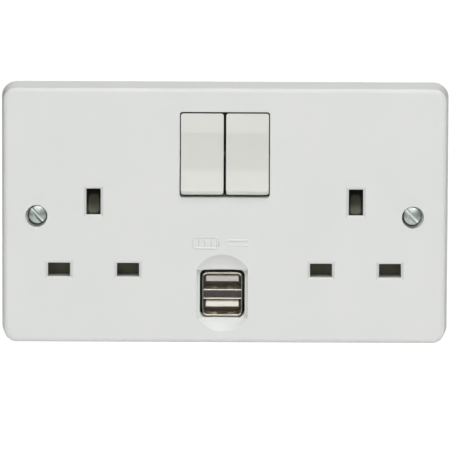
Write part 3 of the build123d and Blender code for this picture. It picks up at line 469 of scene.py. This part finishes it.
def paint_fixing_highlights_and_shade(material):
    """Paints highlights into the fixing screws' driver slots, the right one more, and paints shade
    on the heads' rims.
    """
    tree = material.node_tree
    place = from_nearer(tree, FIXING_PITCH)
    slot_normal = (math.sin(DRIVER_SLOT_TURN), 0.0, math.cos(DRIVER_SLOT_TURN))
    distance = scalar(tree, "ABSOLUTE", vector(tree, "DOT_PRODUCT", place, slot_normal))
    x = axes(tree, coordinates(tree))[0]
    scale = spread(tree, x, 1.0, RIGHT_SLOT_SCALE, -MM, MM)
    bright = fall(tree, scalar(tree, "MULTIPLY", distance, scale), DRIVER_SLOT_EDGE)
    radius = vector(tree, "DISTANCE", place, [number * MM for number in HEAD_RIM_CENTRE])
    tint(material, bright, DRIVER_SLOT_PAINTED_HIGHLIGHT)
    tint(material, rise(tree, radius, HEAD_RIM), HEAD_RIM_PAINTED_SHADE)


finishes = {slot: finish(slot, *look) for slot, look in LOOKS.items()}
# Painted shade round the shutters' ramps
paint_ramp_shade(finishes["shutter_plastic"])
# Painted shade on the pin slots' walls and on their bevels' sides
paint_slot_shade(finishes["plate_plastic"])
# Painted shade on the port shell's sides, painted light inside the shell and on the port body's
# deep part
paint_port_light_and_shade(finishes["port_steel"], finishes["port_black"])
# The fixing screws' own zinc, with painted highlights in the driver slots and painted shade on the
# head rims
painted_fixings = {"fixing_screws": finish("zinc_steel_with_painted_light", *FIXING_ZINC_LOOK)}
paint_fixing_highlights_and_shade(painted_fixings["fixing_screws"])
for part in frame["record"]["subparts"]:
    mesh = frame["nodes"][part["node"]].data
    mesh.materials.clear()
    mesh.materials.append(painted_fixings.get(part["node"], finishes[part["material_slot"]]))


# Raised marks, ribs, threads and springs, which are too fine for the solids or have to shorten


def add_piece(name, points, faces, slot, body="housing"):
    """Closed mesh with its points in millimetres, fixed to a body."""
    mesh = bpy.data.meshes.new(name)
    mesh.from_pydata([[number * MM for number in point] for point in points], [], faces)
    shape = bmesh.new()
    shape.from_mesh(mesh)
    bmesh.ops.recalc_face_normals(shape, faces=shape.faces)
    shape.to_mesh(mesh)
    shape.free()
    mesh.materials.append(finishes[slot])
    piece = bpy.data.objects.new(name, mesh)
    bpy.context.scene.collection.objects.link(piece)
    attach(piece, body)
    return piece


def tube_faces(first, rings, sides, closed=False):
    """Faces of a tube through rings of points, with a cap at each end unless it is closed."""
    faces = []
    for index in range(rings if closed else rings - 1):
        here = first + sides * index
        there = first + sides * ((index + 1) % rings)
        for corner in range(sides):
            after = (corner + 1) % sides
            faces.append((here + corner, there + corner, there + after, here + after))
    if not closed:
        last = first + sides * (rings - 1)
        faces.append(tuple(range(first, first + sides)))
        faces.append(tuple(range(last, last + sides)))
    return faces


def relief(name, lines, width, root, crest, slot, lean=0.4):
    """Raised lines with sloping flanks, each a row of (x, z) points, closed if its ends meet."""
    half = width / 2
    slope = abs(crest - root) * lean
    profile = ((-half, root), (slope - half, crest), (half - slope, crest), (half, root))
    points = []
    faces = []
    for line in lines:
        closed = line[0] == line[-1]
        spots = [Vector(spot) for spot in (line[:-1] if closed else line)]
        count = len(spots)
        faces += tube_faces(len(points), count, len(profile), closed)
        for index, spot in enumerate(spots):
            before = spots[index - 1]
            after = spots[(index + 1) % count]
            if not closed and index == 0:
                before = 2 * spot - after
            if not closed and index + 1 == count:
                after = 2 * spot - before
            leave = (after - spot).normalized()
            along = (spot - before).normalized() + leave
            across = Vector((-along.y, along.x)).normalized()
            across /= across.dot(Vector((-leave.y, leave.x)))
            for out, level in profile:
                points.append((spot.x + out * across.x, level, spot.y + out * across.y))
    add_piece(name, points, faces, slot)


def circle(x, z, radius, sides=48):
    """Outline of a circle."""
    turns = [2 * math.pi * (index % sides) / sides for index in range(sides + 1)]
    return [(x + radius * math.cos(turn), z + radius * math.sin(turn)) for turn in turns]


def panel(x, z, width, height, corner, steps=6):
    """Outline of a rectangle with round corners."""
    line = []
    for quarter, (side, end) in enumerate(((1, 1), (-1, 1), (-1, -1), (1, -1))):
        centre_x = x + side * (width / 2 - corner)
        centre_z = z + end * (height / 2 - corner)
        for step in range(steps + 1):
            turn = math.pi / 2 * (quarter + step / steps)
            line.append((centre_x + corner * math.cos(turn), centre_z + corner * math.sin(turn)))
    return line + line[:1]


def thread(name, x):
    """Right-handed ridge wound round a screw that points away from the room."""
    start, end = THREAD_ENDS
    count = round((end - start) / THREAD_PITCH * THREAD_STEPS)
    points = []
    for index in range(count + 1):
        turn = -2 * math.pi * index / THREAD_STEPS
        y = start + THREAD_PITCH * index / THREAD_STEPS
        grown = min(1.0, index / THREAD_STEPS, (count - index) / THREAD_STEPS)
        crest = THREAD_ROOT + (THREAD_CREST - THREAD_ROOT) * grown
        for radius, shift in (
            (THREAD_ROOT, -THREAD_FOOT_HALF),
            (crest, -THREAD_CREST_HALF),
            (crest, THREAD_CREST_HALF),
            (THREAD_ROOT, THREAD_FOOT_HALF),
        ):
            level = y + shift * THREAD_PITCH
            points.append((x + radius * math.cos(turn), level, radius * math.sin(turn)))
    add_piece(name, points, tube_faces(0, count + 1, 4), "zinc_steel")


def spring(name, body, joint, foot, axis, length, coil_radius, turns, travel):
    """Coil of round wire with closed ends, on a fixed foot along an axis."""
    axis = Vector(axis).normalized()
    side = Vector((1.0, 0.0, 0.0))
    up = axis.cross(side)
    wire = WIRE / 2
    steps = COIL_STEPS * turns
    free_height = length - 2 * SPRING_GAP - 3 * WIRE
    points = []
    for index in range(steps + 1):
        turned = turns * index / steps
        closed = min(turned, 1.0) + max(turned - turns + 1.0, 0.0)
        opened = min(max(turned - 1.0, 0.0), turns - 2.0) / (turns - 2.0)
        height = SPRING_GAP + wire + WIRE * closed + free_height * opened
        around = side * math.cos(2 * math.pi * turned) + up * math.sin(2 * math.pi * turned)
        centre = Vector(foot) + axis * height
        for corner in range(WIRE_SIDES):
            lean = 2 * math.pi * corner / WIRE_SIDES
            out = coil_radius + wire * math.cos(lean)
            points.append(centre + around * out + axis * wire * math.sin(lean))
    faces = tube_faces(0, steps + 1, WIRE_SIDES)
    piece = add_piece(name + "_coil", points, faces, "spring_steel", body)
    for polygon in piece.data.polygons:
        polygon.use_smooth = True
    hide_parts(name)
    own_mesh(piece)


def add_springs():
    """Return spring of each shutter, and the spring in each rocker's stem."""
    for side, sign in (("left", -1), ("right", 1)):
        name = "shutter_spring_" + side
        low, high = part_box(name)
        centre = (low + high) / (2 * MM)
        foot = (centre.x, centre.y, SHUTTER_SPRING_FOOT_Z)
        spring(name, "housing", "shutter_" + side + "_slide", foot, **SHUTTER_SPRING)
        x, y, z = PLUNGER_SPRING_FOOT
        spring(
            "plunger_spring_" + side, "rocker_" + side, "plunger_" + side + "_slide",
            (sign * x, y, z), **PLUNGER_SPRING,
        )


def add_notch_wall():
    """Wall that closes the live strip's channel where the right pillar's notch cuts into it."""
    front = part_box("base")[0].y / MM
    low, high = NOTCH_FOOT_Y
    inner = NOTCH_WALL_X
    outer = inner + NOTCH_WALL
    bend = [math.pi / 12 * step for step in range(7)]
    section = [
        (NOTCH_FOOT_X, low),
        (inner, low),
        (inner, front + NOTCH_BEVEL),
        (inner + NOTCH_BEVEL, front),
        (outer - NOTCH_BEVEL, front),
        (outer, front + NOTCH_BEVEL),
        *[
            (inner + NOTCH_WALL * math.cos(turn), high - NOTCH_WALL + NOTCH_WALL * math.sin(turn))
            for turn in bend
        ],
        (NOTCH_FOOT_X, high),
    ]
    points = [(x, y, z) for z in (-NOTCH_HALF, NOTCH_HALF) for x, y in section]
    add_piece("notch_wall", points, tube_faces(0, 2, len(section)), "base_plastic")


add_springs()

# Above the ports: a battery with its charge bars, and the sign for direct current
relief(
    "port_symbols",
    [
        panel(-6.2, -8.8, 7.6, 3.6, 0.7),
        [(-1.8, -9.6), (-1.8, -8.0)],
        *[[(x, -9.8), (x, -7.8)] for x in (-8.2, -6.2, -4.2)],
        [(1.4, -8.0), (7.6, -8.0)],
        *[[(x, -9.6), (x + 1.4, -9.6)] for x in (1.4, 3.8, 6.2)],
    ],
    width=0.85, root=-9.9, crest=-10.22, slot="plate_plastic", lean=1.0,
)

# Behind the terminals, read from the back: earth, live and neutral, and the length to strip
relief(
    "terminal_marks",
    [
        circle(-22.0, 18.2, 3.4),
        [(-22.0, 20.6), (-22.0, 18.3)],
        *[
            [(-22.0 - half, z), (-22.0 + half, z)]
            for half, z in ((2.1, 18.2), (1.4, 17.2), (0.7, 16.2))
        ],
        [(1.3, 20.4), (1.3, 16.0), (-1.4, 16.0)],
        [(23.5, 16.0), (23.5, 20.4)],
        [(20.5, 16.0), (20.5, 20.4)],
        [(23.5, 20.2), (20.5, 16.2)],
        panel(-2.5, 27.0, 7.0, 2.6, 0.3),
        [(1.2, 27.0), (9.0, 27.0)],
        [(1.2, 28.6), (1.2, 30.0)],
        [(9.0, 28.6), (9.0, 30.0)],
        [(1.2, 29.3), (9.0, 29.3)],
    ],
    width=0.6, root=BASE_BACK, crest=BASE_BACK + 0.45, slot="base_plastic",
)

# Marks of the mould on the base: ejector pins, a date wheel and an empty label frame
relief(
    "mould_marks",
    [
        *[circle(x, z, 2.6) for x in (-46.0, 46.0) for z in (-19.0, 20.0)],
        *[circle(x, -20.0, 2.6) for x in (-28.0, 28.0)],
        circle(32.0, 25.5, 4.2),
        circle(32.0, 25.5, 1.5),
        *[
            [
                (32.0 + reach * math.cos(turn), 25.5 + reach * math.sin(turn))
                for reach in (2.7, 3.7)
            ]
            for turn in [math.pi / 6 * hour for hour in range(12)]
        ],
        panel(-34.0, 26.6, 20.0, 7.4, 1.2),
    ],
    width=0.5, root=BASE_BACK, crest=BASE_BACK + 0.35, slot="base_plastic",
)
relief(
    "case_ribs",
    [[(x, -15.0), (x, -32.6)] for x in (-12.7, -8.7, -4.7, -0.7, 3.3, 7.3, 11.3)],
    width=1.3, root=CASE_BACK, crest=CASE_BACK + 0.65, slot="case_plastic",
)
add_notch_wall()
thread("fixing_thread_left", -FIXING_PITCH / 2)
thread("fixing_thread_right", FIXING_PITCH / 2)


# Studio: a pale floor that keeps the shadow, a white surround and soft lamps


def seen_directly(tree):
    """1 for rays from the camera, a reflection or through glass, and 0 for light on the object."""
    path = tree.nodes.new("ShaderNodeLightPath").outputs
    reflected = scalar(tree, "MAXIMUM", path["Is Camera Ray"], path["Is Glossy Ray"])
    return scalar(tree, "MAXIMUM", reflected, path["Is Transmission Ray"])


def stage_card(name, corners):
    """Flat four-sided piece of the studio, with a new material of its own."""
    mesh = bpy.data.meshes.new(name)
    mesh.from_pydata(corners, [], [(0, 1, 2, 3)])
    card = bpy.data.objects.new(name, mesh)
    bpy.context.scene.collection.objects.link(card)
    material = bpy.data.materials.new(name)
    material.use_nodes = True
    mesh.materials.append(material)
    return card, material.node_tree


def make_flag(name, corners, fade, top):
    """Dark card that only reflections see, paler between two heights."""
    card, tree = stage_card(name, corners)
    card.visible_camera = False
    card.visible_diffuse = False
    card.visible_shadow = False
    shader = tree.nodes["Principled BSDF"]
    shader.inputs["Base Color"].default_value = BLACK
    shader.inputs["Specular IOR Level"].default_value = 0.0
    shader.inputs["Emission Color"].default_value = WHITE
    glow = spread(tree, axes(tree, coordinates(tree))[2], 0.0, 1.0, fade, top)
    tree.links.new(glow, shader.inputs["Emission Strength"])


def upright(first, second, low, high):
    """Corners of an upright card that stands on a line between two (x, y) points."""
    return [(*first, low), (*second, low), (*second, high), (*first, high)]


def make_flags():
    """One flag behind the camera for the rockers' dark band, and two on each side of the plate."""
    corners = upright((-FLAG_HALF, FLAG_Y), (FLAG_HALF, FLAG_Y), FLAG_FOOT, FLAG_TOP)
    make_flag("flag", corners, FLAG_FADE, FLAG_TOP)
    for name, sign in (("flag_left", -1), ("flag_right", 1)):
        x = sign * SIDE_FLAG_X
        corners = upright((x, FLAG_Y), (x, SIDE_FLAG_BACK), SIDE_FLAG_FOOT, SIDE_FLAG_TOP)
        make_flag(name, corners, SIDE_FLAG_TOP / 2, SIDE_FLAG_TOP)
        near = (sign * BACK_FLAG_NEAR, BACK_FLAG_Y)
        corners = upright(near, (x, BACK_FLAG_Y), BACK_FLAG_FOOT, BACK_FLAG_TOP)
        make_flag(name + "_back", corners, BACK_FLAG_FADE, BACK_FLAG_TOP)


def make_floor():
    """Pale floor behind and under the object, white to the camera except where the shadow lies."""
    ends = (
        (-FLOOR_HALF, FLOOR_FRONT), (FLOOR_HALF, FLOOR_FRONT),
        (FLOOR_HALF, FLOOR_HALF), (-FLOOR_HALF, FLOOR_HALF),
    )
    _, tree = stage_card("floor", [(x, y, FLOOR_Z) for x, y in ends])
    shader = tree.nodes["Principled BSDF"]
    shader.inputs["Base Color"].default_value = FLOOR_COLOUR
    shader.inputs["Roughness"].default_value = FLOOR_ROUGHNESS
    shader.inputs["Specular IOR Level"].default_value = FLOOR_SPECULAR
    shader.inputs["Emission Color"].default_value = WHITE
    glow = spread(tree, seen_directly(tree), 0.0, FLOOR_GLOW, 0.0, 1.0)
    tree.links.new(glow, shader.inputs["Emission Strength"])


def make_world():
    """White to the camera and in reflections; it lights the object from front and back only."""
    world = bpy.data.worlds.new("studio")
    world.use_nodes = True
    tree = world.node_tree
    background = tree.nodes["Background"]
    background.inputs["Color"].default_value = WHITE
    direction = tree.nodes.new("ShaderNodeTexCoord").outputs["Generated"]
    ahead = scalar(tree, "ABSOLUTE", axes(tree, direction)[1])
    strength = tree.nodes.new("ShaderNodeMix")
    light = spread(tree, ahead, 0.0, SKY_STRENGTH, SKY_START, 1.0)
    tree.links.new(seen_directly(tree), strength.inputs["Factor"])
    tree.links.new(light, strength.inputs["A"])
    strength.inputs["B"].default_value = 1.0
    tree.links.new(strength.outputs["Result"], background.inputs["Strength"])
    bpy.context.scene.world = world


def softbox(name, place, width, height, watts, shows):
    """Rectangular lamp at a place, turned to the plate, that reflections show or not."""
    lamp = bpy.data.lights.new(name, "AREA")
    lamp.shape = "RECTANGLE"
    lamp.size = width
    lamp.size_y = height
    lamp.energy = watts
    holder = bpy.data.objects.new(name, lamp)
    holder.location = place
    direction = Vector(LAMP_AIM) - Vector(place)
    holder.rotation_euler = direction.to_track_quat("-Z", "Y").to_euler()
    holder.visible_camera = False
    holder.visible_glossy = shows
    bpy.context.scene.collection.objects.link(holder)


def make_camera():
    """Camera at the photograph's angle, which fills the frame as the photograph does."""
    azimuth = math.radians(CAMERA_AZIMUTH)
    elevation = math.radians(CAMERA_ELEVATION)
    back = Vector(
        (
            math.sin(azimuth) * math.cos(elevation),
            -math.cos(azimuth) * math.cos(elevation),
            math.sin(elevation),
        )
    )
    roll = Matrix.Rotation(math.radians(CAMERA_ROLL), 3, "Z")
    turn = (-back).to_track_quat("-Z", "Y").to_matrix() @ roll
    aim = turn @ Vector((AIM_RIGHT_MM * MM, -AIM_DROP_MM * MM, 0.0))
    data = bpy.data.cameras.new("camera")
    data.sensor_width = SENSOR_MM
    data.lens = PX_PER_MM * (CAMERA_DISTANCE / MM) * SENSOR_MM / IMAGE_PX
    data.clip_start, data.clip_end = CAMERA_CLIP
    camera = bpy.data.objects.new("camera", data)
    camera.matrix_world = Matrix.Translation(aim + back * CAMERA_DISTANCE) @ turn.to_4x4()
    bpy.context.scene.collection.objects.link(camera)
    bpy.context.scene.camera = camera


make_floor()
make_flags()
make_world()
for name, lamp in LAMPS.items():
    softbox(name, *lamp)
make_camera()

bpy.context.scene.view_settings.view_transform = "Standard"
